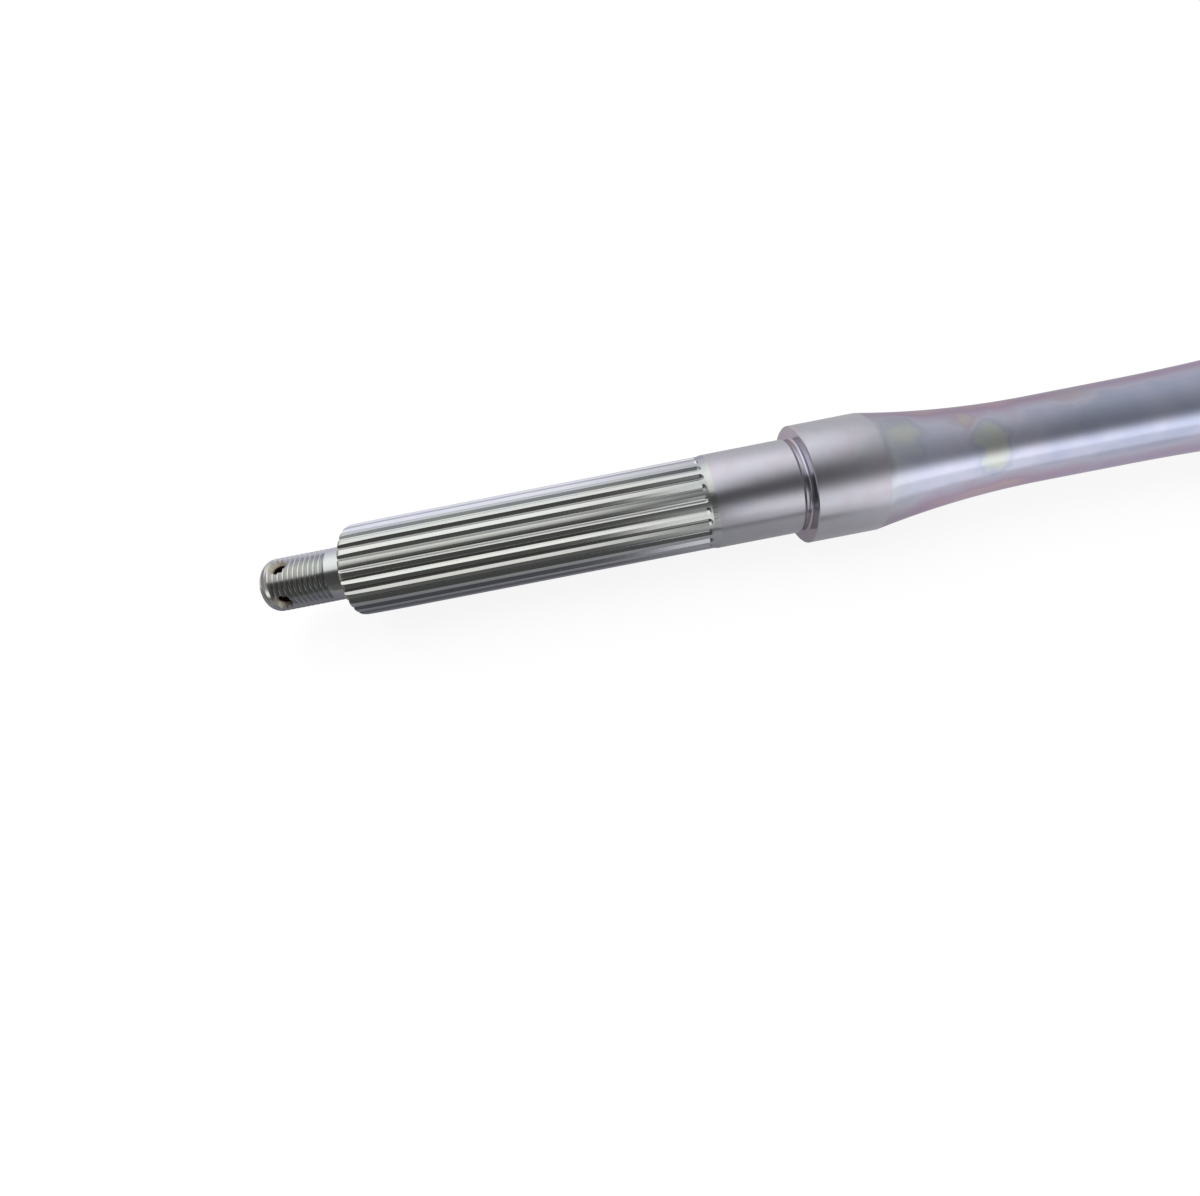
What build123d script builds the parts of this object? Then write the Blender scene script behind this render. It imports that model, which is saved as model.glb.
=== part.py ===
"""Rear axle shaft of a small quad bike, turned and rolled from one steel bar.

Both wheel ends are alike. From the tip inwards each has a threaded stub with two crossed
cotter holes, a long involute spline for the wheel hub, a ground seat for the bearing with a
relief groove, and a collar that the bearing rests against. A long hollow flare brings the
collar down to a slim waist, and the bar swells again to a plain middle.

The shaft lies along X with its middle at the origin. Sizes are millimetres.
"""

from build123d import *
import os
from math import acos, cos, pi, radians, sin, tan

# Whole shaft
overall_length = 720.0
middle_diameter = 28.0

# Threaded stub, drawn at the thread's outer diameter
stub_diameter = 15.85
stub_length = 26.8
tip_face_diameter = 11.6
tip_round_length = 3.2
neck_corner_size = 0.5

# Centre hole in each end, which carries the bar in the lathe and the grinder
centre_hole_diameter = 2.0
centre_hole_mouth = 4.25
centre_hole_depth = 3.6
centre_cone_angle = 60.0
centre_drill_angle = 120.0

# Cotter holes, two at each end, crossing at right angles
cotter_hole_diameter = 3.5
cotter_hole_from_tip = 5.7
cotter_countersink_depth = 2.1
cotter_countersink_angle = 60.0

# Hub spline: 26 involute teeth of module 1 with a 30 degree pressure angle
spline_teeth = 26
spline_module = 1.0
spline_pressure_angle = 30.0
spline_profile_shift = 0.45
spline_tip_diameter = 27.5
spline_form_diameter = 26.44
spline_root_diameter = 25.7
spline_groove_length = 104.2
spline_runout_length = 1.1
spline_end_chamfer = 0.25
spline_land_length = 0.6

# Bearing seat and the relief groove at its foot
journal_diameter = 28.0
journal_lead_length = 1.5
journal_length = 26.0
relief_width = 2.4
relief_depth = 0.45
relief_ramp_angle = 30.0
relief_corner_size = 0.6

# Collar, flare and waist
collar_diameter = 35.0
collar_length = 19.9
collar_chamfer = 0.25
flare_length = 51.0
waist_diameter = 25.4
waist_length = 24.9
swell_length = 42.0

# How far a cutting tool stands out past the surface that it cuts
tool_overrun = 0.6

# Places along the shaft, on the left half
tip_x = -overall_length / 2
spline_x = tip_x + stub_length
groove_end_x = spline_x + spline_groove_length
lead_x = groove_end_x + spline_land_length
journal_x = lead_x + journal_lead_length
collar_x = journal_x + journal_length
flare_x = collar_x + collar_length
waist_x = flare_x + flare_length
swell_x = waist_x + waist_length
middle_x = swell_x + swell_length


def turned_half():
    """The left half as it leaves the lathe, one outline turned about the X axis."""
    stub_r = stub_diameter / 2
    spline_r = spline_tip_diameter / 2
    journal_r = journal_diameter / 2
    collar_r = collar_diameter / 2
    waist_r = waist_diameter / 2
    middle_r = middle_diameter / 2
    relief_r = journal_r - relief_depth
    ramp_length = relief_depth / tan(radians(relief_ramp_angle))
    ramp_x = collar_x - relief_width

    round_end = (tip_x + tip_round_length, stub_r)
    tip_round = TangentArc(round_end, (tip_x, tip_face_diameter / 2), tangent=(-1, 0))
    stub_to_flare = Polyline(
        round_end,
        (spline_x - neck_corner_size, stub_r),
        (spline_x, stub_r + neck_corner_size),
        (spline_x, spline_r - spline_end_chamfer),
        (spline_x + spline_end_chamfer, spline_r),
        (lead_x, spline_r),
        (journal_x, journal_r),
        (ramp_x, journal_r),
        (ramp_x + ramp_length, relief_r),
        (collar_x - relief_corner_size, relief_r),
        (collar_x, relief_r + relief_corner_size),
        (collar_x, collar_r - collar_chamfer),
        (collar_x + collar_chamfer, collar_r),
        (flare_x, collar_r),
    )
    flare = TangentArc((waist_x, waist_r), (flare_x, collar_r), tangent=(-1, 0))
    waist = Line((waist_x, waist_r), (swell_x, waist_r))
    swell = TangentArc((swell_x, waist_r), (middle_x, middle_r), tangent=(1, 0))
    middle_and_axis = Polyline(
        (middle_x, middle_r),
        (0, middle_r),
        (0, 0),
        (tip_x, 0),
        (tip_x, tip_face_diameter / 2),
    )
    outline = [tip_round, stub_to_flare, flare, waist, swell, middle_and_axis]
    return revolve(make_face(outline), Axis.X)


def gap_half_angle(radius):
    """Half the angle, in radians, that the gap between two teeth spans at a radius."""
    pitch_angle = radians(spline_pressure_angle)
    base_radius = spline_module * spline_teeth / 2 * cos(pitch_angle)
    flank_angle = acos(base_radius / radius)
    tooth_at_pitch = (pi / 2 + 2 * spline_profile_shift * tan(pitch_angle)) / spline_teeth
    involute = (tan(pitch_angle) - pitch_angle) - (tan(flank_angle) - flank_angle)
    return pi / spline_teeth - tooth_at_pitch - involute


def spline_gap(outer_radius):
    """One gap between two teeth, pointing along X: two involute flanks and a full round root.

    An arc through three points of each involute stays within a micron of it.
    """
    form_radius = spline_form_diameter / 2
    radii = [form_radius, (form_radius + outer_radius) / 2, outer_radius]
    upper = [(r * cos(gap_half_angle(r)), r * sin(gap_half_angle(r))) for r in radii]
    lower = [(x, -y) for x, y in upper]
    root_bottom = (spline_root_diameter / 2, 0)
    return make_face(
        [
            ThreePointArc(*upper),
            ThreePointArc(upper[0], root_bottom, lower[0]),
            ThreePointArc(*lower),
            Line(upper[-1], lower[-1]),
        ]
    )


def spline_grooves():
    """All the grooves of one spline, whose floors climb to the lands at the inner end."""
    root_radius = spline_root_diameter / 2
    tip_radius = spline_tip_diameter / 2
    outer_radius = tip_radius + tool_overrun
    half_pitch = 180 / spline_teeth
    gap = spline_gap(outer_radius)
    places = PolarLocations(0, spline_teeth, start_angle=half_pitch)
    start = Plane.YZ.offset(spline_x - tool_overrun)
    length = spline_groove_length + 2 * tool_overrun
    grooves = Part() + [extrude(start * place * gap, length) for place in places]

    # The climb is a cone, drawn from under the roots to outside the grooves
    climb = spline_runout_length / (tip_radius - root_radius)
    foot_x = groove_end_x - spline_runout_length - tool_overrun * climb
    crest_x = groove_end_x + tool_overrun * climb
    uncut = Polyline(
        (foot_x, root_radius - tool_overrun),
        (crest_x, outer_radius),
        (spline_x + length, outer_radius),
        (spline_x + length, root_radius - tool_overrun),
        close=True,
    )
    return grooves - revolve(make_face(uncut), Axis.X)


def cotter_hole(direction):
    """A drilled hole through the stub with a countersink at both mouths."""
    hole_radius = cotter_hole_diameter / 2
    stub_radius = stub_diameter / 2
    hole = Cylinder(hole_radius, 2 * (stub_radius + tool_overrun))
    cone_height = cotter_countersink_depth + tool_overrun
    cone_spread = cone_height * tan(radians(cotter_countersink_angle / 2))
    standing = (Align.CENTER, Align.CENTER, Align.MIN)
    cone = Cone(hole_radius, hole_radius + cone_spread, cone_height, align=standing)
    mouth = Pos(0, 0, stub_radius - cotter_countersink_depth) * cone
    cutter = hole + mouth + Rot(180, 0, 0) * mouth
    turned = Rot(0, 0, 0) if direction == "Z" else Rot(90, 0, 0)
    return Pos(tip_x + cotter_hole_from_tip, 0, 0) * turned * cutter


def centre_hole():
    """The small drilled hole with a 60 degree cone in the end face."""
    pilot_r = centre_hole_diameter / 2
    mouth_r = centre_hole_mouth / 2
    cone_length = (mouth_r - pilot_r) / tan(radians(centre_cone_angle / 2))
    drill_tip = pilot_r / tan(radians(centre_drill_angle / 2))
    outline = Polyline(
        (tip_x, 0),
        (tip_x, mouth_r),
        (tip_x + cone_length, pilot_r),
        (tip_x + centre_hole_depth, pilot_r),
        (tip_x + centre_hole_depth + drill_tip, 0),
        close=True,
    )
    return revolve(make_face(outline), Axis.X)


half = turned_half() - spline_grooves()
half -= cotter_hole("Z") + cotter_hole("Y")
half -= centre_hole()
axle_shaft = half + mirror(half, Plane.YZ)
axle_shaft.label = "axle_shaft"

os.makedirs("parts", exist_ok=True)
export_step(axle_shaft, "parts/axle_shaft.step")
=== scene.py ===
# %% [markdown]
# # Rear axle shaft of a small quad bike
#
# The piece is one steel bar, taken to be 720 mm long. Such a bar is turned on a lathe, its two
# splines and two threads are rolled into it, four cotter holes are drilled, and the whole bar is
# dipped in a zinc bath. The seats for the bearings and the seals are ground bright afterwards.
#
# This lesson follows the same order: turn the bar, roll the thread and the spline, weld the
# pieces of mesh into one, drill it, and give each surface the finish of its last operation.
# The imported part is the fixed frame, so the new mesh is built in the same place and size.

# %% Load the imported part
from math import atan2, ceil, cos, hypot, pi, radians, sin, sqrt, tan

import bmesh
import bpy
from mathutils import Matrix, Quaternion, Vector


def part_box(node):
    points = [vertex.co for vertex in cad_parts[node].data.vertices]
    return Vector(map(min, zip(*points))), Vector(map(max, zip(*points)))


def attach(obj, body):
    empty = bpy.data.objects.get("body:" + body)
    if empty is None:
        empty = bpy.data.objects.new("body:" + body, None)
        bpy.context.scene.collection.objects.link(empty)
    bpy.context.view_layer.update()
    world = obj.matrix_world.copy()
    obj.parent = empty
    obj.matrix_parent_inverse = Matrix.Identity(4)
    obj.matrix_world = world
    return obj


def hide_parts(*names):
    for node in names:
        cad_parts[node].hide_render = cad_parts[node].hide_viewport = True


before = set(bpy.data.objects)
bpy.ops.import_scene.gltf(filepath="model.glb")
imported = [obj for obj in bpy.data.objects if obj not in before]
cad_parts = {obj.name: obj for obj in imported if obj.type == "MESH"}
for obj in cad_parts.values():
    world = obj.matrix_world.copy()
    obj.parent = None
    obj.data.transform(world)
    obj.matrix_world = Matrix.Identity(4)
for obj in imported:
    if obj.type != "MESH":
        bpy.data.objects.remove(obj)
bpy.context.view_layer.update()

shaft_low, shaft_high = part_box("axle_shaft")
print("shaft length:", round((shaft_high - shaft_low).x * 1000, 2), "mm")

# %% [markdown]
# ## The sizes
#
# The frame gives the length of the bar. The other sizes are the ones that a drawing of this
# shaft would carry, in millimetres. Every place along the bar is then worked out from them,
# from the tip inwards, so that no position has to be typed twice.

# %% Sizes on the drawing
MM = 0.001
half_length = round(shaft_high.x / MM, 3)

stub_radius = 7.925
stub_length = 26.8
tip_face_radius = 5.8
tip_round_length = 3.2
neck_corner_size = 0.5

thread_pitch = 1.5
thread_depth = 0.92
thread_phase = 0.15
thread_start = 2.2
thread_lead = 1.3
thread_length = 20.9
thread_skew = 0.9
thread_runout = 0.9

centre_hole_radius = 1.0
centre_hole_mouth = 2.125
centre_hole_depth = 3.6
centre_hole_bottom = 4.2

cotter_hole_radius = 1.75
cotter_hole_from_tip = 5.7
countersink_depth = 2.1
countersink_angle = radians(60)

spline_teeth = 26
spline_radius = 13.75
spline_gap_width = 2.1
flank_slope = radians(38.5)
spline_root_round = 0.25
spline_length = 104.2
spline_runout = 1.1
spline_land = 0.6
spline_lead_in = (
    (0.0, 0.38), (0.25, 0.26), (0.5, 0.20), (0.9, 0.15), (1.6, 0.12), (3.0, 0.09),
    (5.0, 0.06), (8.0, 0.03), (12.0, 0.0),
)

journal_radius = 14.0
journal_lead = 1.5
journal_length = 26.0
relief_width = 2.4
relief_depth = 0.45
relief_ramp = 0.78
relief_corner = 0.6

collar_radius = 17.5
collar_length = 19.9
collar_chamfer = 0.25
flare_length = 51.0
waist_radius = 12.7
waist_length = 24.9
swell_length = 42.0
middle_radius = 14.0

# %% Places along the left half
tip_x = -half_length
thread_end_x = tip_x + thread_length
spline_x = tip_x + stub_length
groove_end_x = spline_x + spline_length
land_end_x = groove_end_x + spline_land
journal_x = land_end_x + journal_lead
collar_x = journal_x + journal_length
flare_x = collar_x + collar_length
waist_x = flare_x + flare_length
swell_x = waist_x + waist_length
middle_x = swell_x + swell_length
print("spline from", spline_x, "to", groove_end_x, "collar from", collar_x, "to", flare_x)

# %% [markdown]
# ## Helpers for node trees
#
# Shader and geometry trees are built in the same way: a node, its settings, and for each input
# either a value or a link. A few short helpers keep the trees below readable as recipes.

# %% Node helpers
def node(tree, kind, inputs=None, **settings):
    """Adds a node. An input that is given a socket is linked, any other value is set."""
    made = tree.nodes.new(kind)
    for name, value in settings.items():
        setattr(made, name, value)
    for key, value in (inputs or {}).items():
        if isinstance(value, bpy.types.NodeSocket):
            tree.links.new(value, made.inputs[key])
        else:
            made.inputs[key].default_value = value
    return made


def calc(tree, operation, *values, clamp=False):
    """One Math node, which gives back its output."""
    made = node(tree, "ShaderNodeMath", dict(enumerate(values)), operation=operation)
    made.use_clamp = clamp
    return made.outputs[0]


def span(tree, value, low, high, start=0.0, end=1.0, smooth=False):
    """Carries a value from one range to another, and holds it at both ends."""
    inputs = {"Value": value, "From Min": low, "From Max": high, "To Min": start, "To Max": end}
    made = node(tree, "ShaderNodeMapRange", inputs)
    if smooth:
        made.interpolation_type = "SMOOTHSTEP"
    return made.outputs[0]


def mix(tree, factor, first, second):
    """A value between two others."""
    return node(tree, "ShaderNodeMix", {0: factor, 2: first, 3: second}).outputs[0]


def mix_colour(tree, factor, first, second):
    """A colour between two others."""
    inputs = {0: factor, 6: first, 7: second}
    return node(tree, "ShaderNodeMix", inputs, data_type="RGBA").outputs[2]


def new_tree(name, kind, inputs, outputs):
    """A node group with named inputs and outputs, and its two end nodes."""
    tree = bpy.data.node_groups.new(name, kind)
    for label, (socket, value) in inputs.items():
        made = tree.interface.new_socket(name=label, in_out="INPUT", socket_type=socket)
        if value is not None:
            made.default_value = value
    for label, socket in outputs.items():
        tree.interface.new_socket(name=label, in_out="OUTPUT", socket_type=socket)
    return tree, tree.nodes.new("NodeGroupInput"), tree.nodes.new("NodeGroupOutput")


FLOAT, INTEGER, COLOUR = "NodeSocketFloat", "NodeSocketInt", "NodeSocketColor"
GEOMETRY, MATERIAL = "NodeSocketGeometry", "NodeSocketMaterial"


# %% Mesh and object helpers
def plain_mesh(bm, name):
    """Turns an edited mesh into plain mesh data and frees it."""
    mesh = bpy.data.meshes.new(name)
    bm.to_mesh(mesh)
    bm.free()
    return mesh


def add_object(name, data):
    """A new object in the scene."""
    made = bpy.data.objects.new(name, data)
    bpy.context.scene.collection.objects.link(made)
    return made


# %% [markdown]
# ## Shared effect: tool marks
#
# A lathe tool or a grinding wheel leaves fine lines that run round the bar. They depend on the
# place along the bar and hardly on the angle. A noise texture that is squeezed along the shaft
# and stretched across it gives such lines in any direction round the bar, with no seam.
# A bitmap of brushed metal would need an unwrapped surface, so the noise is the better way.

# %% Tool marks group
def tool_marks_group():
    tree, start, end = new_tree(
        "tool_marks",
        "ShaderNodeTree",
        {"Lines per mm": (FLOAT, 6.0), "Wander": (FLOAT, 0.02)},
        {"Height": FLOAT},
    )
    place = node(tree, "ShaderNodeTexCoord").outputs["Object"]
    axes = node(tree, "ShaderNodeSeparateXYZ", {0: place})
    millimetres = 1 / MM
    along = calc(tree, "MULTIPLY", axes.outputs[0], start.outputs["Lines per mm"])
    along = calc(tree, "MULTIPLY", along, millimetres)
    wander = calc(tree, "MULTIPLY", start.outputs["Wander"], millimetres)
    across = [calc(tree, "MULTIPLY", axes.outputs[i], wander) for i in (1, 2)]
    squeezed = node(tree, "ShaderNodeCombineXYZ", {0: along, 1: across[0], 2: across[1]})
    lines = node(
        tree,
        "ShaderNodeTexNoise",
        {"Vector": squeezed.outputs[0], "Scale": 1.0, "Detail": 3.0, "Roughness": 0.6},
    )
    tree.links.new(lines.outputs["Fac"], end.inputs["Height"])
    return tree


tool_marks = tool_marks_group()
print("shader group:", tool_marks.name)

# %% [markdown]
# ## Shared effect: the colours of the zinc film
#
# Zinc plate is dipped in a chromate bath, which leaves a clear film. Where the film is thinner
# or thicker it shows other pale colours, like oil on water: blue, lavender, pink, tan, straw
# and green. The group adds a slow noise to a chosen thickness and reads the colour from a ramp,
# so that one film gives soft patches whose colours always follow each other in that order.

# %% Chromate film group
film_colours = (
    (0.00, (0.41, 0.45, 0.62)),
    (0.16, (0.55, 0.55, 0.69)),
    (0.38, (0.51, 0.39, 0.51)),
    (0.52, (0.64, 0.50, 0.49)),
    (0.66, (0.62, 0.59, 0.49)),
    (0.82, (0.53, 0.60, 0.53)),
    (1.00, (0.41, 0.45, 0.62)),
)


def value_ramp(tree, factor, stops):
    """A ramp with one stop for each place and its colour, or its grey value."""
    ramp = node(tree, "ShaderNodeValToRGB", {0: factor})
    made = ramp.color_ramp.elements
    while len(made) < len(stops):
        made.new(0.5)
    for stop, (place, colour) in zip(made, stops):
        stop.position = place
        stop.color = (*colour, 1) if isinstance(colour, tuple) else (colour, colour, colour, 1)
    return ramp.outputs[0]


def chromate_film_group():
    tree, start, end = new_tree(
        "chromate_film",
        "ShaderNodeTree",
        {
            "Thickness": (FLOAT, 0.3),
            "Patchiness": (FLOAT, 0.3),
            "Patch size mm": (FLOAT, 25.0),
            "Strength": (FLOAT, 0.5),
            "Plain metal": (COLOUR, (0.43, 0.43, 0.47, 1.0)),
        },
        {"Color": COLOUR, "Thickness": FLOAT},
    )
    place = node(tree, "ShaderNodeTexCoord").outputs["Object"]
    closeness = calc(tree, "DIVIDE", 1 / MM, start.outputs["Patch size mm"])
    patches = node(
        tree,
        "ShaderNodeTexNoise",
        {"Vector": place, "Scale": closeness, "Detail": 2.5, "Roughness": 0.45},
    )
    centred = calc(tree, "SUBTRACT", patches.outputs["Fac"], 0.5)
    change = calc(tree, "MULTIPLY", centred, start.outputs["Patchiness"])
    thickness = calc(tree, "ADD", start.outputs["Thickness"], change)
    colour = value_ramp(tree, calc(tree, "FRACT", thickness), film_colours)
    tinted = mix_colour(tree, start.outputs["Strength"], start.outputs["Plain metal"], colour)
    tree.links.new(tinted, end.inputs["Color"])
    tree.links.new(thickness, end.inputs["Thickness"])
    return tree


chromate_film = chromate_film_group()
print("shader group:", chromate_film.name, "with", len(film_colours), "film colours")

# %% [markdown]
# ## Material: clear zinc plate
#
# Zinc plate is a metal with a soft shine. It covers the thread, the spline, the side faces of
# the collar, the flare and the waist. The film's thickness is worked out in three steps: a
# value for each stretch of the bar, a painted sheen that thickens the film where the bar turns
# away from the upper front, so that its colour shifts towards the edges as in a glancing view,
# and a few ragged spots of another thickness. A second ramp says how strong the colours are:
# strong on the flare, faint on the rolled teeth.

# %% Film thickness over the bar
film_along_bar = (
    (0.0, 0.03), (125.0, 0.03), (140.0, 0.13), (165.0, 0.15), (176.0, 0.04),
    (201.0, 0.10), (202.0, 0.45), (226.0, 0.50), (228.0, 0.84), (245.0, 0.76),
    (333.2, 0.74), (333.5, 0.30), (335.0, 0.30), (335.8, 0.84), (341.0, 0.76),
    (352.0, 0.74), (360.0, 0.60),
)
film_strength_along_bar = (
    (0.0, 0.85), (170.0, 0.85), (180.0, 0.40), (201.5, 0.36), (226.0, 0.36),
    (228.0, 0.25), (333.2, 0.40), (333.5, 0.70), (335.0, 0.70), (335.8, 0.28),
    (342.0, 0.28), (360.0, 0.24),
)
# Painted sheen: the film thickens where the bar turns away from this upper-front direction, so its
# colour shifts as in a glancing view.
film_sheen_side = radians(48)
film_sheen_side_change = 0.30
film_sheen_side_starts, film_sheen_side_ends = radians(28), radians(62)
spot_paleness = 0.76
spot_edge_size = 5.0
spot_edge_wander = 8.0
spot_core = 0.1
spot_cover = 0.85
film_spots = (
    (-174.0, 75.0, 9.0, -0.22),
    (-155.5, 84.0, 5.0, 0.55),
    (-150.0, 58.0, 7.5, -0.30),
    (-150.0, 34.0, 7.5, -0.30),
    (-122.0, 104.0, 8.0, 0.40),
)


def group(tree, shared, **values):
    """Places a shared group in a material, with its own values."""
    inputs = {key.replace("_", " "): value for key, value in values.items()}
    return node(tree, "ShaderNodeGroup", inputs, node_tree=shared)


def on_bar(x, front_angle, radius):
    """A point on the bar, from its angle over the top, which starts at the front."""
    angle = radians(front_angle)
    return Vector((x, -radius * cos(angle), radius * sin(angle))) * MM


def ramp_along_bar(tree, axes, stops):
    far = calc(tree, "MULTIPLY", calc(tree, "ABSOLUTE", axes.outputs[0]), 1 / MM)
    scaled = [(x / half_length, value) for x, value in stops]
    return value_ramp(tree, calc(tree, "DIVIDE", far, half_length), scaled)


def film_thickness(tree, place, axes):
    along = ramp_along_bar(tree, axes, film_along_bar)
    across = node(tree, "ShaderNodeCombineXYZ", {1: axes.outputs[1], 2: axes.outputs[2]})
    outward = node(tree, "ShaderNodeVectorMath", {0: across.outputs[0]}, operation="NORMALIZE")
    towards = (0, -cos(film_sheen_side), sin(film_sheen_side))
    facing = node(
        tree, "ShaderNodeVectorMath", {0: outward.outputs[0], 1: towards}, operation="DOT_PRODUCT"
    )
    starts, ends = cos(film_sheen_side_starts), cos(film_sheen_side_ends)
    # The painted sheen: extra film thickness by the angle away from the upper front.
    side = span(tree, facing.outputs["Value"], starts, ends, 0.0, film_sheen_side_change, smooth=True)
    thickness = calc(tree, "ADD", side, along)

    closeness = 1 / (spot_edge_size * MM)
    ragged = node(
        tree, "ShaderNodeTexNoise", {"Vector": place, "Scale": closeness, "Detail": 2.0}
    )
    centred = calc(tree, "SUBTRACT", ragged.outputs["Fac"], 0.5)
    wander = calc(tree, "MULTIPLY", centred, spot_edge_wander * MM)
    in_spots = 0.0
    for x, front_angle, size, spot_thickness in film_spots:
        centre = on_bar(x, front_angle, middle_radius)
        near = node(tree, "ShaderNodeVectorMath", {0: place, 1: centre}, operation="DISTANCE")
        from_centre = calc(tree, "ADD", near.outputs["Value"], wander)
        core = size * spot_core * MM
        inside = span(tree, from_centre, core, size * MM, spot_cover, 0.0, smooth=True)
        thickness = mix(tree, inside, thickness, spot_thickness)
        in_spots = calc(tree, "MAXIMUM", in_spots, inside)
    return thickness, in_spots


def new_material(name):
    """An empty node material, its tree and its Principled BSDF."""
    material = bpy.data.materials.new(name)
    material.use_nodes = True
    tree = material.node_tree
    return material, tree, tree.nodes["Principled BSDF"]


# %% Zinc plate material
zinc_edge_tint = (0.75, 0.70, 0.80, 1)


def machined_finish(tree, shader, colour, lines, smoothest, roughest):
    """Bare metal whose tool lines change its roughness and stand up a little."""
    bump = node(tree, "ShaderNodeBump", {"Height": lines, "Strength": 0.02, "Distance": 0.1 * MM})
    tree.links.new(colour, shader.inputs["Base Color"])
    tree.links.new(span(tree, lines, 0.3, 0.7, smoothest, roughest), shader.inputs["Roughness"])
    tree.links.new(bump.outputs[0], shader.inputs["Normal"])
    shader.inputs["Metallic"].default_value = 1.0


def zinc_plate():
    material, tree, shader = new_material("clear_zinc_plate")
    place = node(tree, "ShaderNodeTexCoord").outputs["Object"]
    axes = node(tree, "ShaderNodeSeparateXYZ", {0: place})
    thickness, in_spots = film_thickness(tree, place, axes)
    unspotted = calc(tree, "MULTIPLY_ADD", in_spots, -spot_paleness, 1)
    strength = ramp_along_bar(tree, axes, film_strength_along_bar)
    film = group(
        tree,
        chromate_film,
        Thickness=thickness,
        Patchiness=0.30,
        Patch_size_mm=9.0,
        Strength=calc(tree, "MULTIPLY", strength, unspotted),
        Plain_metal=(0.53, 0.535, 0.54, 1),
    )
    marks = group(tree, tool_marks, Lines_per_mm=5.0, Wander=0.03)
    machined_finish(tree, shader, film.outputs["Color"], marks.outputs["Height"], 0.15, 0.19)
    shader.inputs["Specular Tint"].default_value = zinc_edge_tint
    return material


zinc = zinc_plate()
print("material:", zinc.name, "with", len(film_spots), "spots")

# %% [markdown]
# ## Material: ground steel
#
# The bearing seat and the collar were ground after plating, so the zinc is gone there. The
# bare steel is a little darker and more matte, with finer lines than the turned surface. A
# trace of the film group gives it the faint violet stains of a handled part.

# %% Ground steel material
steel_in_lines = (0.49, 0.488, 0.53, 1)
steel_between_lines = (0.525, 0.522, 0.56, 1)


def ground_steel():
    material, tree, shader = new_material("ground_steel")
    marks = group(tree, tool_marks, Lines_per_mm=4.0, Wander=0.02)
    tone = mix_colour(tree, marks.outputs["Height"], steel_in_lines, steel_between_lines)
    stains = group(
        tree,
        chromate_film,
        Thickness=0.2,
        Patchiness=0.9,
        Patch_size_mm=6.0,
        Strength=0.20,
        Plain_metal=tone,
    )
    machined_finish(tree, shader, stains.outputs["Color"], marks.outputs["Height"], 0.23, 0.27)
    return material


bare_steel = ground_steel()
print("material:", bare_steel.name)

# %% [markdown]
# ## Material: inside the drilled holes
#
# The bore of each narrow hole is painted a very dark brown, which is painted shade inside the
# hole. The countersinks are cream and grainy from the drill. On the level pair of holes, the side
# of the countersinks away from the tip is painted brown as well, as painted shade on that wall.

# %% Drilled hole material
# Painted shade: a near-black brown for the bore, and a brown for the far side of the level pair's
# countersinks.
bore_painted_shade = (0.07, 0.04, 0.03, 1)
far_side_painted_shade = (0.13, 0.085, 0.07, 1)
dark_cream, light_cream = (0.62, 0.56, 0.44, 1), (0.92, 0.87, 0.76, 1)
grain_closeness = 1400.0
level_pair_starts, level_pair_full = 4.5, 3.0
inner_side_starts, inner_side_full = 1.1, 0.5


def drilled_hole():
    material, tree, shader = new_material("drilled_hole")
    place = node(tree, "ShaderNodeTexCoord").outputs["Object"]
    axes = node(tree, "ShaderNodeSeparateXYZ", {0: place})
    across = node(tree, "ShaderNodeCombineXYZ", {1: axes.outputs[1], 2: axes.outputs[2]})
    from_axis = node(tree, "ShaderNodeVectorMath", {0: across.outputs[0]}, operation="LENGTH")
    foot = (stub_radius - countersink_depth) * MM
    outside = span(tree, from_axis.outputs["Value"], foot - 0.2 * MM, foot + 0.5 * MM)
    height = calc(tree, "ABSOLUTE", axes.outputs[2])
    on_level_pair = span(tree, height, level_pair_starts * MM, level_pair_full * MM)
    from_middle = calc(tree, "ABSOLUTE", axes.outputs[0])
    hole_middle = -tip_x - cotter_hole_from_tip
    starts = (hole_middle + inner_side_starts) * MM
    full = (hole_middle + inner_side_full) * MM
    inner_side = span(tree, from_middle, starts, full, 0.0, 0.9)
    # Painted shade on the side of the level pair's countersinks away from the tip.
    painted_shade_share = calc(tree, "MULTIPLY", on_level_pair, inner_side)
    noise = {"Vector": place, "Scale": grain_closeness, "Detail": 3.0}
    grain = node(tree, "ShaderNodeTexNoise", noise).outputs["Fac"]
    cream = mix_colour(tree, grain, dark_cream, light_cream)
    with_painted_shade = mix_colour(tree, painted_shade_share, cream, far_side_painted_shade)
    tone = mix_colour(tree, outside, bore_painted_shade, with_painted_shade)
    bump = node(tree, "ShaderNodeBump", {"Height": grain, "Strength": 0.6, "Distance": 0.1 * MM})
    tree.links.new(tone, shader.inputs["Base Color"])
    tree.links.new(bump.outputs[0], shader.inputs["Normal"])
    shader.inputs["Metallic"].default_value = 0.7
    shader.inputs["Roughness"].default_value = 0.45
    return material


hole_steel = drilled_hole()
print("material:", hole_steel.name)

# %% [markdown]
# ## The rolled thread
#
# An M16 thread with a pitch of 1.5 mm is a groove that winds round the stub. A stack of rings
# would cut its crests into steps. So the rows of the mesh wind round the stub as the thread
# does: a flat grid is rolled up so that each row climbs by one pitch per turn. Its two long
# edges then meet one turn apart, and Merge by Distance closes the seam. Rows past either end
# are pushed back onto the end ring, where they merge as well.
#
# The same tree rounds the tip: at each point the smaller of two radii counts, the thread's or
# the dome's, just as a form tool would cut the dome through the thread. The thread also fades
# in behind the tip and out before the neck, where it ends a little askew.

# %% Thread tree
thread_columns = 104
thread_rows_per_turn = 8
spare_turns = 2.0
skew_angle = radians(80)


def welded(tree, geometry, distance):
    inputs = {"Geometry": geometry, "Distance": distance}
    return node(tree, "GeometryNodeMergeByDistance", inputs).outputs[0]


def dressed(tree, geometry, material):
    inputs = {"Geometry": geometry, "Material": material}
    return node(tree, "GeometryNodeSetMaterial", inputs).outputs[0]


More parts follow.
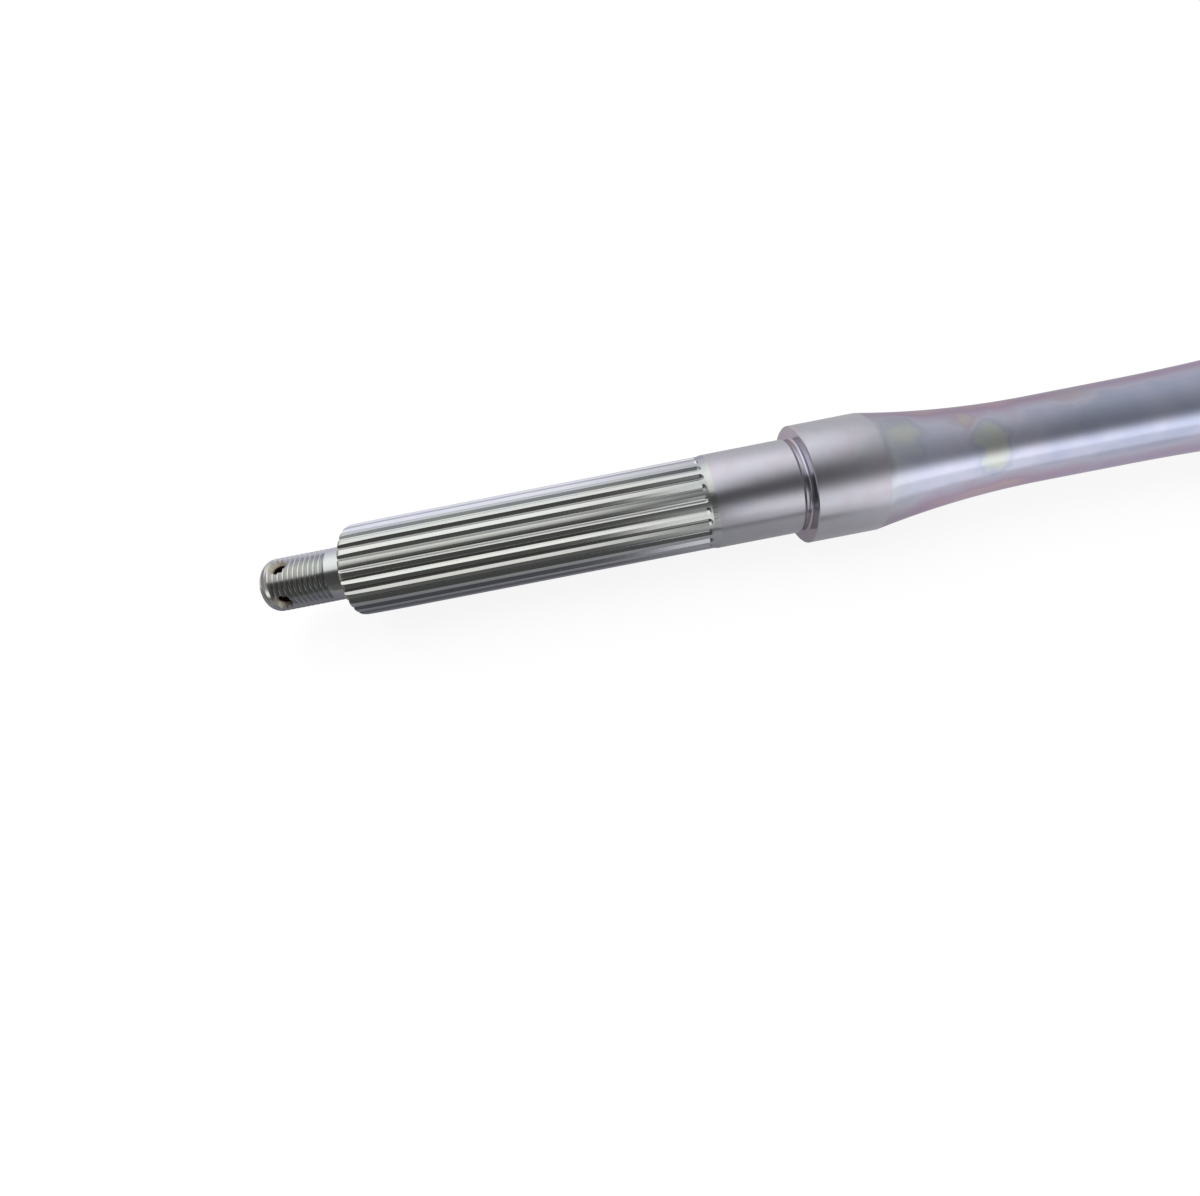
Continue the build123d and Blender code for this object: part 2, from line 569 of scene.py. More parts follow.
def thread_tree():
    sizes = (
        "Outer Radius", "Pitch", "Depth", "Phase", "Tip X", "End X", "Thread Start X", "Lead",
        "Thread End X", "Run Out", "Skew", "Dome End X", "Dome Radius", "Weld Distance",
    )
    inputs = {label: (FLOAT, 0.0) for label in sizes}
    inputs.update({label: (INTEGER, 8) for label in ("Rows", "Rows per Turn", "Columns")})
    inputs["Material"] = (MATERIAL, None)
    tree, start, end = new_tree("thread", "GeometryNodeTree", inputs, {"Geometry": GEOMETRY})
    given = start.outputs

    across = calc(tree, "ADD", given["Columns"], 1)
    down = calc(tree, "ADD", given["Rows"], 1)
    grid = node(tree, "GeometryNodeMeshGrid", {"Vertices X": down, "Vertices Y": across})
    index = node(tree, "GeometryNodeInputIndex").outputs[0]
    row = calc(tree, "FLOOR", calc(tree, "DIVIDE", calc(tree, "ADD", index, 0.5), across))
    column = calc(tree, "SUBTRACT", index, calc(tree, "MULTIPLY", row, across))

    turn = calc(tree, "DIVIDE", column, given["Columns"])
    angle = calc(tree, "MULTIPLY", turn, 2 * pi)
    winding = calc(tree, "DIVIDE", row, given["Rows per Turn"])
    climbed = calc(tree, "MULTIPLY", calc(tree, "ADD", winding, turn), given["Pitch"])
    before = calc(tree, "SUBTRACT", spare_turns, given["Phase"])
    first_x = calc(tree, "SUBTRACT", given["Tip X"], calc(tree, "MULTIPLY", given["Pitch"], before))
    free_x = calc(tree, "ADD", first_x, climbed)
    x = calc(tree, "MINIMUM", calc(tree, "MAXIMUM", free_x, given["Tip X"]), given["End X"])

    crest_share = 1 / 16
    flank_share = 5 / 16
    half_row = 0.5 / thread_rows_per_turn
    phase = calc(tree, "WRAP", calc(tree, "ADD", winding, half_row), 0.5, -0.5)
    past_crest = calc(tree, "SUBTRACT", calc(tree, "ABSOLUTE", phase), crest_share)
    down_flank = calc(tree, "DIVIDE", past_crest, flank_share, clamp=True)
    askew = calc(tree, "COSINE", calc(tree, "SUBTRACT", angle, skew_angle))
    shift = calc(tree, "MULTIPLY", askew, given["Skew"])
    end_x = calc(tree, "SUBTRACT", given["Thread End X"], shift)
    left = calc(tree, "SUBTRACT", end_x, x)
    fade_out = calc(tree, "DIVIDE", left, given["Run Out"], clamp=True)
    into_thread = calc(tree, "SUBTRACT", x, given["Thread Start X"])
    fade_in = calc(tree, "DIVIDE", into_thread, given["Lead"], clamp=True)
    fade = calc(tree, "MULTIPLY", fade_in, fade_out)
    cut = calc(tree, "MULTIPLY", calc(tree, "MULTIPLY", down_flank, fade), given["Depth"])
    thread_radius = calc(tree, "SUBTRACT", given["Outer Radius"], cut)

    into_dome = calc(tree, "MAXIMUM", calc(tree, "SUBTRACT", given["Dome End X"], x), 0.0)
    round_squared = calc(tree, "MULTIPLY", given["Dome Radius"], given["Dome Radius"])
    rest = calc(tree, "SUBTRACT", round_squared, calc(tree, "MULTIPLY", into_dome, into_dome))
    drop = calc(tree, "SUBTRACT", given["Dome Radius"], calc(tree, "SQRT", rest))
    dome_radius = calc(tree, "SUBTRACT", given["Outer Radius"], drop)
    radius = calc(tree, "MINIMUM", thread_radius, dome_radius)

    place = node(
        tree,
        "ShaderNodeCombineXYZ",
        {
            0: x,
            1: calc(tree, "MULTIPLY", radius, calc(tree, "COSINE", angle)),
            2: calc(tree, "MULTIPLY", radius, calc(tree, "SINE", angle)),
        },
    )
    wound = node(
        tree,
        "GeometryNodeSetPosition",
        {"Geometry": grid.outputs["Mesh"], "Position": place.outputs[0]},
    )
    closed = welded(tree, wound.outputs[0], given["Weld Distance"])
    outward = node(tree, "GeometryNodeFlipFaces", {"Mesh": closed})
    real = node(tree, "GeometryNodeRealizeInstances", {"Geometry": outward.outputs[0]})
    tree.links.new(dressed(tree, real.outputs[0], given["Material"]), end.inputs["Geometry"])
    return tree


def run_tree(name, mesh, tree, **values):
    """Runs a geometry tree once on a mesh and gives back the plain result."""
    carrier = add_object(name, mesh)
    modifier = carrier.modifiers.new(tree.name, "NODES")
    modifier.node_group = tree
    for item in tree.interface.items_tree:
        key = item.name.replace(" ", "_")
        if item.in_out == "INPUT" and key in values:
            modifier[item.identifier] = values[key]
    depsgraph = bpy.context.evaluated_depsgraph_get()
    result = bpy.data.meshes.new_from_object(carrier.evaluated_get(depsgraph))
    carrier.modifiers.remove(modifier)
    bpy.data.objects.remove(carrier)
    return result


# %% Wind the thread
weld_distance = 0.002 * MM
thread_clearance = 0.1
thread_close_x = thread_end_x + thread_skew + thread_clearance
dome_drop = stub_radius - tip_face_radius
dome_radius = (tip_round_length**2 + dome_drop**2) / (2 * dome_drop)
thread_turns = ceil((thread_close_x - tip_x) / thread_pitch + spare_turns)
thread_rows = thread_turns * thread_rows_per_turn

thread_mesh = run_tree(
    "thread_blank",
    bpy.data.meshes.new("thread_blank"),
    thread_tree(),
    Outer_Radius=stub_radius * MM,
    Pitch=thread_pitch * MM,
    Depth=thread_depth * MM,
    Phase=thread_phase,
    Tip_X=tip_x * MM,
    End_X=thread_close_x * MM,
    Thread_Start_X=(tip_x + thread_start) * MM,
    Lead=thread_lead * MM,
    Thread_End_X=thread_end_x * MM,
    Run_Out=thread_runout * MM,
    Skew=thread_skew * MM,
    Dome_End_X=(tip_x + tip_round_length) * MM,
    Dome_Radius=dome_radius * MM,
    Weld_Distance=weld_distance,
    Rows=thread_rows,
    Rows_per_Turn=thread_rows_per_turn,
    Columns=thread_columns,
    Material=zinc,
)
print("thread:", len(thread_mesh.polygons), "faces in", thread_rows, "rows")

# %% [markdown]
# ## The spline
#
# A spline is one tooth gap, repeated. The gap is a V with flat flanks and a small round root,
# and the light makes each flank one clear band. Towards the tip the lands round down to the
# face, so that the hub slides on easily. At the other end the round tool drew out of the bar:
# the gap rises in a quarter circle until it meets the land, and ends in a blunt round nose.
#
# Only one gap is meshed, as a strip from the middle of one tooth to the middle of the
# next. A Geometry Nodes tree then places it once per tooth round the axis and welds the strips.

# %% The shape of one gap
gap_half_width_at_land = spline_gap_width / 2
apex_radius = sqrt(spline_radius**2 - gap_half_width_at_land**2)
apex_radius -= gap_half_width_at_land * tan(flank_slope)
spline_root_radius = apex_radius + spline_root_round * (1 / cos(flank_slope) - 1)
round_height = spline_root_round * (1 - cos(flank_slope))
round_half_width = spline_root_round * sin(flank_slope)


def gap_half_width(height):
    """Half the gap's width at a height above its root."""
    if height <= round_height:
        return sqrt(spline_root_round**2 - (spline_root_round - height) ** 2)
    return round_half_width + (height - round_height) / tan(flank_slope)


def gap_top(lift, surface):
    """The height above the root at which a lifted gap meets the surface of the bar."""
    low, high = 0.0, max(surface - spline_root_radius - lift, 0.0)
    for _ in range(halvings):
        middle = (low + high) / 2
        reach = hypot(spline_root_radius + lift + middle, gap_half_width(middle))
        low, high = (middle, high) if reach < surface else (low, middle)
    return low


gap_steps = 6
land_steps = 4
row_crowding = 1.4  # above 1, the points crowd at the round root
halvings = 40
half_tooth = pi / spline_teeth


def half_gap_row(lift, surface):
    """Angles and radii from the middle of a gap to the middle of the next tooth."""
    top = gap_top(lift, surface)
    row = []
    for step in range(gap_steps + 1):
        height = top * (step / gap_steps) ** row_crowding
        across, half_width = spline_root_radius + lift + height, gap_half_width(height)
        row.append((atan2(half_width, across), min(hypot(half_width, across), surface)))
    edge = row[-1][0]
    for step in range(1, land_steps + 1):
        row.append((edge + (half_tooth - edge) * step / land_steps, surface))
    return row


def gap_row(lift=0.0, surface=spline_radius):
    """The whole row, from the middle of one tooth to the middle of the next."""
    half = half_gap_row(lift, surface)
    return [(-angle, radius) for angle, radius in reversed(half[1:])] + half


even_steps = 2 * (gap_steps + land_steps)
even_row = [
    (-half_tooth + 2 * half_tooth * step / even_steps, spline_radius)
    for step in range(even_steps + 1)
]
gap_depth = spline_radius - spline_root_radius
print("gap is", spline_gap_width, "mm wide and", round(gap_depth, 2), "mm deep")

# %% One gap as a strip of faces
def round_axis(x, angle, radius):
    """A point of the bar, from its place along it, its angle from +Y and its radius."""
    return Vector((x, radius * cos(angle), radius * sin(angle))) * MM


def gap_strip():
    rows = [
        (spline_x + along, gap_row(surface=spline_radius - drop)) for along, drop in spline_lead_in
    ]
    runout_rows = 10
    for step in range(runout_rows + 1):
        turn = pi / 2 * step / runout_rows
        x = groove_end_x - spline_runout * (1 - sin(turn))
        rows.append((x, gap_row(lift=gap_depth * (1 - cos(turn)))))
    rows.append((land_end_x, even_row))

    strip = bmesh.new()
    lines = [[strip.verts.new(round_axis(x, *point)) for point in row] for x, row in rows]
    for near, far in zip(lines, lines[1:]):
        for i in range(len(near) - 1):
            strip.faces.new((near[i], near[i + 1], far[i + 1], far[i]))
    return plain_mesh(strip, "spline_gap")


gap_mesh = gap_strip()
print("one gap:", len(gap_mesh.polygons), "faces")

# %% Repeat the gap round the axis
def repeat_tree():
    tree, start, end = new_tree(
        "repeat_round_axis",
        "GeometryNodeTree",
        {
            "Geometry": (GEOMETRY, None),
            "Copies": (INTEGER, 26),
            "First Angle": (FLOAT, 0.0),
            "Weld Distance": (FLOAT, 0.0),
            "Material": (MATERIAL, None),
        },
        {"Geometry": GEOMETRY},
    )
    given = start.outputs
    points = node(tree, "GeometryNodePoints", {"Count": given["Copies"]})
    step = calc(tree, "DIVIDE", 2 * pi, given["Copies"])
    index = node(tree, "GeometryNodeInputIndex").outputs[0]
    angle = calc(tree, "ADD", calc(tree, "MULTIPLY", index, step), given["First Angle"])
    turned = node(tree, "ShaderNodeCombineXYZ", {0: angle})
    placed = node(
        tree,
        "GeometryNodeInstanceOnPoints",
        {
            "Points": points.outputs[0],
            "Instance": given["Geometry"],
            "Rotation": turned.outputs[0],
        },
    )
    real = node(tree, "GeometryNodeRealizeInstances", {"Geometry": placed.outputs[0]})
    closed = welded(tree, real.outputs[0], given["Weld Distance"])
    tree.links.new(dressed(tree, closed, given["Material"]), end.inputs["Geometry"])
    return tree


spline_mesh = run_tree(
    "spline_gaps",
    gap_mesh,
    repeat_tree(),
    Copies=spline_teeth,
    First_Angle=half_tooth,
    Weld_Distance=weld_distance,
    Material=zinc,
)
print("spline:", len(spline_mesh.polygons), "faces round", spline_teeth, "teeth")

# %% [markdown]
# ## The turned bar
#
# Everything else on the bar is round, so it is a chain of rings. Each ring is joined to the
# next by a band of faces. The ring count follows the form: one ring at each corner of a
# straight turned step, many along the flare, where the radius follows an arc. The thread has
# 104 columns, the spline 520 and the rest 260, so a band may join a ring to one with a whole
# multiple of its points.

# %% Rings and bands
bar_columns = spline_teeth * even_steps // 2


def round_ring(bm, x, radius, columns):
    return [bm.verts.new(round_axis(x, 2 * pi * i / columns, radius)) for i in range(columns)]


def spline_ring(bm, x, row):
    """A ring whose points match one row of the repeated gap strip."""
    points = [
        (2 * half_tooth * tooth + half_tooth + angle, radius)
        for tooth in range(spline_teeth)
        for angle, radius in row[:-1]
    ]
    return [bm.verts.new(round_axis(x, *point)) for point in points]


def join_rings(bm, near, far):
    """Faces between two rings. One may have a whole multiple of the other's points."""
    fewer = min(len(near), len(far))
    near_share, far_share = len(near) // fewer, len(far) // fewer
    for i in range(fewer):
        near_run = [near[(i * near_share + k) % len(near)] for k in range(near_share + 1)]
        far_run = [far[(i * far_share + k) % len(far)] for k in range(far_share + 1)]
        middle_near = near_run[near_share // 2]
        middle_far = far_run[far_share // 2]
        if near_share == far_share:
            bm.faces.new((near_run[0], near_run[1], far_run[1], far_run[0]))
        elif far_share > 1:
            for k in range(far_share // 2):
                bm.faces.new((near_run[0], far_run[k + 1], far_run[k]))
            bm.faces.new((near_run[0], near_run[1], middle_far))
            for k in range(far_share // 2, far_share):
                bm.faces.new((near_run[1], far_run[k + 1], far_run[k]))
        else:
            for k in range(near_share // 2):
                bm.faces.new((near_run[k], near_run[k + 1], far_run[0]))
            bm.faces.new((middle_near, far_run[1], far_run[0]))
            for k in range(near_share // 2, near_share):
                bm.faces.new((near_run[k], near_run[k + 1], far_run[1]))


def chain(bm, profile, columns, first=None):
    """Rings along a list of (x, radius) points, each joined to the one before."""
    rings = [first] if first else []
    rings += [round_ring(bm, x, radius, columns) for x, radius in profile]
    for near, far in zip(rings, rings[1:]):
        join_rings(bm, near, far)
    return rings


# %% The profile of the turned bar
def tangent_arc(start, end, steps):
    """Points of an arc that leaves the start level with the axis and passes through the end."""
    run, rise = end[0] - start[0], end[1] - start[1]
    radius = (run**2 + rise**2) / (2 * rise)
    sweep = atan2(run, radius - rise)
    points = []
    for step in range(1, steps + 1):
        angle = sweep * step / steps
        points.append((start[0] + radius * sin(angle), start[1] + radius * (1 - cos(angle))))
    return points


def fillet(start, radius, steps):
    """Points of a quarter circle that turns from level with the axis to straight outwards."""
    turns = [pi / 2 * step / steps for step in range(steps + 1)]
    return [(start[0] + radius * sin(turn), start[1] + radius * (1 - cos(turn))) for turn in turns]


fillet_steps, flare_steps, swell_steps = 8, 24, 12
centre_cone_slope = sqrt(3)  # length along the axis for each step in radius, at 60 degrees
relief_radius = journal_radius - relief_depth
seat_and_collar = [
    (journal_x, journal_radius),
    (collar_x - relief_width, journal_radius),
    (collar_x - relief_width + relief_ramp, relief_radius),
    *fillet((collar_x - relief_corner, relief_radius), relief_corner, fillet_steps),
    (collar_x, collar_radius - collar_chamfer),
    (collar_x + collar_chamfer, collar_radius),
    (flare_x, collar_radius),
]
flare = tangent_arc((waist_x, waist_radius), (flare_x, collar_radius), flare_steps)
swell = tangent_arc((swell_x, waist_radius), (middle_x, middle_radius), swell_steps)
flare_to_middle = flare[-2::-1] + [(waist_x, waist_radius), (swell_x, waist_radius)]
flare_to_middle += swell + [(0.0, middle_radius)]
centre_hole = [
    (tip_x + centre_hole_depth, centre_hole_radius),
    (tip_x + (centre_hole_mouth - centre_hole_radius) * centre_cone_slope, centre_hole_radius),
    (tip_x, centre_hole_mouth),
    (tip_x, tip_face_radius),
]
neck = [
    (thread_close_x, stub_radius),
    (spline_x - neck_corner_size, stub_radius),
    (spline_x, stub_radius + neck_corner_size),
]
profiles = (seat_and_collar, flare_to_middle, centre_hole, neck)
print("profile points:", sum(len(profile) for profile in profiles))

# %% [markdown]
# ## One closed mesh
#
# The thread, the spline and the rings share their end points, so welding them gives one skin
# with no seam, as the real bar is one piece. The far end is the same half turned by half a
# turn about the upright axis. A mirror image would be wrong, because it would turn the
# right-hand thread into a left-hand one.

# %% Weld the half bar and turn a copy to the far end
def half_bar():
    bm = bmesh.new()
    bm.from_mesh(thread_mesh)
    bm.from_mesh(spline_mesh)
    bottom = bm.verts.new(round_axis(tip_x + centre_hole_bottom, 0, 0))
    hole_rings = chain(bm, centre_hole, thread_columns)
    for i in range(thread_columns):
        bm.faces.new((bottom, hole_rings[0][i], hole_rings[0][(i + 1) % thread_columns]))
    neck_rings = chain(bm, neck, thread_columns)
    face_row = gap_row(surface=spline_radius - spline_lead_in[0][1])
    join_rings(bm, neck_rings[-1], spline_ring(bm, spline_x, face_row))
    land_ring = spline_ring(bm, land_end_x, even_row)
    collar_rings = chain(bm, [seat_and_collar[0]], bar_columns)
    join_rings(bm, land_ring, collar_rings[0])
    chain(bm, seat_and_collar[1:] + flare_to_middle, bar_columns, first=collar_rings[0])
    return bm


def whole_bar():
    bm = half_bar()
    copied = bmesh.ops.duplicate(bm, geom=bm.verts[:] + bm.edges[:] + bm.faces[:])
    other = [item for item in copied["geom"] if isinstance(item, bmesh.types.BMVert)]
    bmesh.ops.rotate(bm, verts=other, cent=(0, 0, 0), matrix=Matrix.Rotation(pi, 3, "Z"))
    bmesh.ops.remove_doubles(bm, verts=bm.verts[:], dist=weld_distance)
    bmesh.ops.dissolve_degenerate(bm, edges=bm.edges[:], dist=weld_distance / 2)
    bmesh.ops.recalc_face_normals(bm, faces=bm.faces[:])
    return bm


zinc_slot, ground_slot = 0, 1


def on_ground_surface(face):
    """True for the faces that the grinding wheel reached: the seat and the collar's outside."""
    x = abs(face.calc_center_median().x) / MM
    on_seat = -journal_x > x > -(collar_x - relief_width)
    on_collar = -(collar_x + collar_chamfer) > x > -flare_x
    return on_seat or on_collar


bar = whole_bar()
for face in bar.faces:
    face.material_index = ground_slot if on_ground_surface(face) else zinc_slot
    face.smooth = True
open_edges = sum(1 for edge in bar.edges if len(edge.link_faces) != 2)
volume = round(bar.calc_volume() / MM**3)
print("bar:", len(bar.faces), "faces,", open_edges, "open edges, volume", volume)
bar_mesh = plain_mesh(bar, "turned_bar")

# %% [markdown]
# ## The cotter holes
#
# Two holes cross the stub at right angles, and each mouth is countersunk. The drill is modelled
# as a spindle: a cylinder that widens to a cone at both ends. A Boolean modifier cuts it out,
# with its exact solver, because the cut has to pass cleanly through the thread.

# %% Drill the cotter holes
drill_overrun = 1.5
drill_columns = 64


def drill(name, x, direction):
    """A drill with a countersink at both ends, along +Z or +Y."""
    bm = bmesh.new()
    reach = stub_radius + drill_overrun
    flare_start = stub_radius - countersink_depth
    widest = cotter_hole_radius + (reach - flare_start) * tan(countersink_angle / 2)
    profile = [
        (-reach, widest),
        (-flare_start, cotter_hole_radius),
        (flare_start, cotter_hole_radius),
        (reach, widest),
    ]
    rings = []
    for height, radius in profile:
        ring = []
        for i in range(drill_columns):
            angle = 2 * pi * i / drill_columns
            point = Vector((radius * cos(angle), radius * sin(angle), height))
            ring.append(bm.verts.new(point * MM))
        rings.append(ring)
    for near, far in zip(rings, rings[1:]):
        join_rings(bm, near, far)
    bm.faces.new(rings[0])
    bm.faces.new(rings[-1])
    bmesh.ops.recalc_face_normals(bm, faces=bm.faces[:])
    if direction == "Y":
        lying = Matrix.Rotation(pi / 2, 3, "X")
        bmesh.ops.rotate(bm, verts=bm.verts[:], cent=(0, 0, 0), matrix=lying)
    bmesh.ops.translate(bm, verts=bm.verts[:], vec=(x * MM, 0, 0))
    for face in bm.faces:
        face.smooth = True
    mesh = plain_mesh(bm, name)
    mesh.materials.append(hole_steel)
    return add_object(name, mesh)


for material in (zinc, bare_steel, hole_steel):
    bar_mesh.materials.append(material)
shaft = add_object("axle_shaft_finished", bar_mesh)

hole_x = tip_x + cotter_hole_from_tip
drills = [
    drill(f"drill_{direction}_{round(x)}", x, direction)
    for x in (hole_x, -hole_x)
    for direction in "ZY"
]
for cutter in drills:
    cut = shaft.modifiers.new(cutter.name, "BOOLEAN")
    cut.operation = "DIFFERENCE"
    cut.solver = "EXACT"
    cut.material_mode = "TRANSFER"
    cut.object = cutter
drilled_mesh = bpy.data.meshes.new_from_object(
    shaft.evaluated_get(bpy.context.evaluated_depsgraph_get())
)
shaft.modifiers.clear()
shaft.data = drilled_mesh
for cutter in drills:
    bpy.data.objects.remove(cutter)
print("drilled:", len(drilled_mesh.polygons), "faces")

# %% Shade the drilled bar
crease_angle = radians(28)
drilled_mesh.shade_smooth()
drilled_mesh.set_sharp_from_angle(angle=crease_angle)
drilled_mesh.name = "axle_shaft_finished"
triangles = sum(len(polygon.vertices) - 2 for polygon in drilled_mesh.polygons)
print("shaft:", triangles, "triangles, slots", [m.name for m in drilled_mesh.materials])

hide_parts("axle_shaft")
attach(shaft, "root")

# %% [markdown]
# ## The floor
#
# The shaft lies on its two collars, the widest part. The floor is a plain pale sheet just
# under them. It is wide, because the camera looks along it almost to the horizon.
#
# The photograph has a plain white ground. The floor gets there with a glow that only the
# camera and the reflections see. For the camera it lifts the floor to white and leaves a light
# shadow under the shaft. The metal shows the floor as a reflection, with a glow that differs
# from place to place. It was fitted to the photograph's highlights: bright in front of the
# flare and behind the shaft, dark in front of the thread, with a dark line along the shaft.

# %% Floor
floor_colour = (0.19, 0.19, 0.19, 1)
glow_for_camera = 0.88
ramp_start, ramp_end = -360.0, 0.0
glow_near_shaft = ((-340, 0.20), (-215, 0.33), (-178, 0.42), (-150, 0.60))
glow_in_front = ((-260, 0.0), (-225, 0.40), (-200, 0.60), (-160, 0.75), (-130, 1.0))
glow_behind = ((-300, 0.85), (-200, 0.50))
front_starts, front_full = 42.0, 62.0
behind_starts = 20.0
edge_line, edge_line_width = 52.0, 13.0
edge_line_shade = ((-185, 0.0), (-160, 1.0))


def glow_along(tree, x, stops):
    length = ramp_end - ramp_start
    share = calc(tree, "DIVIDE", calc(tree, "SUBTRACT", x, ramp_start * MM), length * MM)
    scaled = [((place - ramp_start) / length, value) for place, value in stops]
    return value_ramp(tree, share, scaled)


def reflected_glow(tree):
    """The glow that metal sees in the floor, by place."""
    place = node(tree, "ShaderNodeTexCoord").outputs["Object"]
    x, y, _ = node(tree, "ShaderNodeSeparateXYZ", {0: place}).outputs
    near, front, back, shade = (
        glow_along(tree, x, stops)
        for stops in (glow_near_shaft, glow_in_front, glow_behind, edge_line_shade)
    )
    forward = calc(tree, "MULTIPLY", y, -1)
    ahead = span(tree, forward, front_starts * MM, front_full * MM, smooth=True)
    from_line = calc(tree, "ABSOLUTE", calc(tree, "ADD", y, edge_line * MM))
    line = span(tree, from_line, 0.0, edge_line_width * MM, shade, 1.0, smooth=True)
    lined = calc(tree, "MULTIPLY", mix(tree, ahead, near, front), line)
    behind = calc(tree, "GREATER_THAN", y, behind_starts * MM)
    return mix(tree, behind, lined, back)


def pale_floor():
    material, tree, shader = new_material("pale_floor")
    shader.inputs["Base Color"].default_value = floor_colour
    shader.inputs["Roughness"].default_value = 0.9
    shader.inputs["Specular IOR Level"].default_value = 0.0
    rays = node(tree, "ShaderNodeLightPath").outputs
    mirrored = calc(tree, "MAXIMUM", rays["Is Glossy Ray"], rays["Is Transmission Ray"])
    for_metal = calc(tree, "MULTIPLY", mirrored, reflected_glow(tree))
    for_camera = calc(tree, "MULTIPLY", rays["Is Camera Ray"], glow_for_camera)
    glow = node(tree, "ShaderNodeEmission", {"Strength": calc(tree, "ADD", for_metal, for_camera)})
    both = node(tree, "ShaderNodeAddShader", {0: shader.outputs[0], 1: glow.outputs[0]})
    output = next(made for made in tree.nodes if made.type == "OUTPUT_MATERIAL")
    tree.links.new(both.outputs[0], output.inputs["Surface"])
    return material


floor_size = 60.0
bm = bmesh.new()
bmesh.ops.create_grid(bm, x_segments=1, y_segments=1, size=floor_size / 2)
bmesh.ops.translate(bm, verts=bm.verts[:], vec=(0, 0, -collar_radius * MM))
floor_mesh = plain_mesh(bm, "floor")
floor_mesh.materials.append(pale_floor())
floor = add_object("floor", floor_mesh)
print("floor at", round(-collar_radius, 2), "mm")

# %% [markdown]
# ## The light
#
# A bright round bar shows the room it stands in as bands along its length. These bands fit two
# long soft sources, one above and behind the bar and one low in front on the right, with a dark
# zone between them where the camera stands. The room is a dome. Its brightness depends on the
# angle round the shaft's own axis, so that the bands run straight along the bar. The source
# behind has a hard lower edge at its left end and is softer and weaker towards the right, so it
# has three ramps, which are blended along the axis. The source in front only starts at the
# bearing seat. The domed tip looks along the axis, at a plain grey part of the room. The
# camera itself sees the room as plain white, so that the ground is clean from every side.

# %% Studio dome
back_left = (
    (0, 0.10), (50, 0.10), (58, 0.13), (61, 0.32), (65, 0.95), (70, 1.45), (92, 1.80),
    (110, 1.80), (130, 1.50), (150, 1.25), (180, 1.00),
)
back_middle = (
    (0, 0.13), (45, 0.13), (55, 0.12), (66, 0.24), (76, 0.54), (87, 0.94), (97, 1.25),
    (107, 1.45), (118, 1.58), (128, 1.48), (138, 1.31), (149, 1.10), (160, 0.96),
    (180, 0.85),
)
back_right = (
    (0, 0.31), (45, 0.31), (55, 0.33), (66, 0.38), (76, 0.44), (87, 0.52), (97, 0.61),
    (107, 0.69), (118, 0.75), (128, 0.79), (180, 0.74),
)
front_source = ((0, 1.00), (10, 0.97), (15, 0.88), (24, 0.52), (30, 0.26), (36, 0.08), (45, 0.0))
left_share = ((-1.0, 1.0), (-0.08, 1.0), (0.08, 0.25), (0.2, 0.0))
right_share = ((0.25, 0.0), (0.42, 0.15), (0.6, 1.0), (1.0, 1.0))
front_share = (
    (-0.1, 0.02), (0.01, 0.03), (0.07, 1.3), (0.25, 1.35), (0.39, 1.2), (0.5, 1.4),
    (0.65, 1.5),
)
end_glow = ((0.64, 0.0), (0.76, 0.14))
past_tip = ((-0.8, 1.0), (-0.55, 0.0))
past_tip_brightness = 0.42
room_brightness = 0.83
ramp_top = 2.5


def ramp_between(tree, factor, stops, low, high):
    """A ramp of brightness. Ramps hold values up to 1, so it is scaled down and up again."""
    scaled = [((place - low) / (high - low), value / ramp_top) for place, value in stops]
    return calc(tree, "MULTIPLY", value_ramp(tree, factor, scaled), ramp_top)


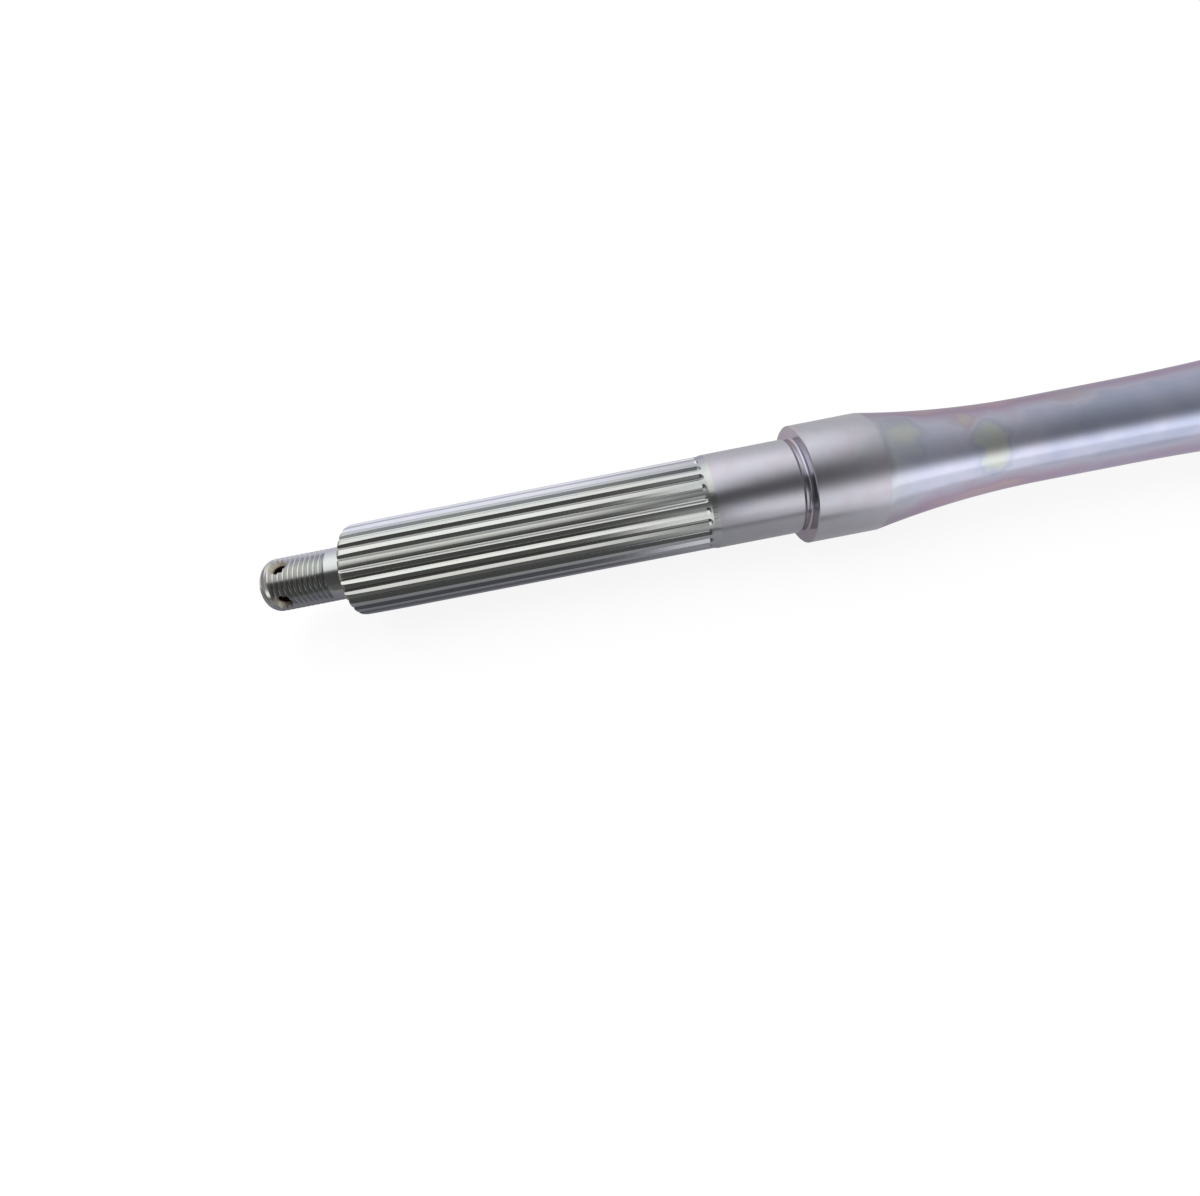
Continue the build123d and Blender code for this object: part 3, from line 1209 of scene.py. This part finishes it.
def studio_dome():
    world = bpy.data.worlds.new("studio_dome")
    world.use_nodes = True
    tree = world.node_tree
    direction = node(tree, "ShaderNodeTexCoord").outputs["Generated"]
    axes = node(tree, "ShaderNodeSeparateXYZ", {0: direction})
    forward = calc(tree, "MULTIPLY", axes.outputs[1], -1)
    upward = calc(tree, "MAXIMUM", axes.outputs[2], 0)
    around = calc(tree, "DIVIDE", calc(tree, "ARCTAN2", upward, forward), pi)
    along = calc(tree, "MULTIPLY_ADD", axes.outputs[0], 0.5, 0.5)

    left, middle, right, front = (
        ramp_between(tree, around, stops, 0, 180)
        for stops in (back_left, back_middle, back_right, front_source)
    )
    left_blend, right_blend, front_blend, tip_blend, end_light = (
        ramp_between(tree, along, stops, -1, 1)
        for stops in (left_share, right_share, front_share, past_tip, end_glow)
    )
    behind = mix(tree, right_blend, mix(tree, left_blend, middle, left), right)
    sources = calc(tree, "MULTIPLY_ADD", front, front_blend, behind)
    lit = calc(tree, "ADD", sources, end_light)
    shown = mix(tree, tip_blend, lit, past_tip_brightness)
    brightness = calc(tree, "MULTIPLY", shown, room_brightness)
    for_camera = node(tree, "ShaderNodeLightPath").outputs["Is Camera Ray"]
    seen = mix(tree, for_camera, brightness, 1.0)
    tree.links.new(seen, tree.nodes["Background"].inputs["Color"])
    bpy.context.scene.world = world


studio_dome()
behind_stops = len(back_left) + len(back_middle) + len(back_right)
print("dome:", behind_stops, "stops behind,", len(front_source), "in front")

# %% [markdown]
# ## The camera
#
# The photograph was taken from close by with a wide lens, level with the end of the spline and
# 45 degrees up. The lens follows from the picture: its width is 1200 pixels and the focal
# length measures 582 of them.

# %% Camera
picture_width = 1200
focal_pixels = 582.0
centre_below_axis_pixels = 82.0
camera_place = Vector((-257.1, -122.5, 122.3)) * MM
camera_aim = Vector((-259.4, 2.8, 0.0)) * MM
camera_roll = radians(-11.75)

camera_data = bpy.data.cameras.new("camera")
camera_data.sensor_width = 36.0
camera_data.lens = camera_data.sensor_width * focal_pixels / picture_width
camera_data.shift_y = -centre_below_axis_pixels / picture_width
camera_data.clip_start = 0.01
camera_data.clip_end = 100.0
camera = add_object("camera", camera_data)
camera.location = camera_place
aimed = (camera_aim - camera_place).to_track_quat("-Z", "Y")
camera.rotation_mode = "QUATERNION"
camera.rotation_quaternion = aimed @ Quaternion((0, 0, 1), camera_roll)
bpy.context.scene.camera = camera
bpy.context.scene.view_settings.view_transform = "Standard"
print("lens:", round(camera_data.lens, 2), "mm")
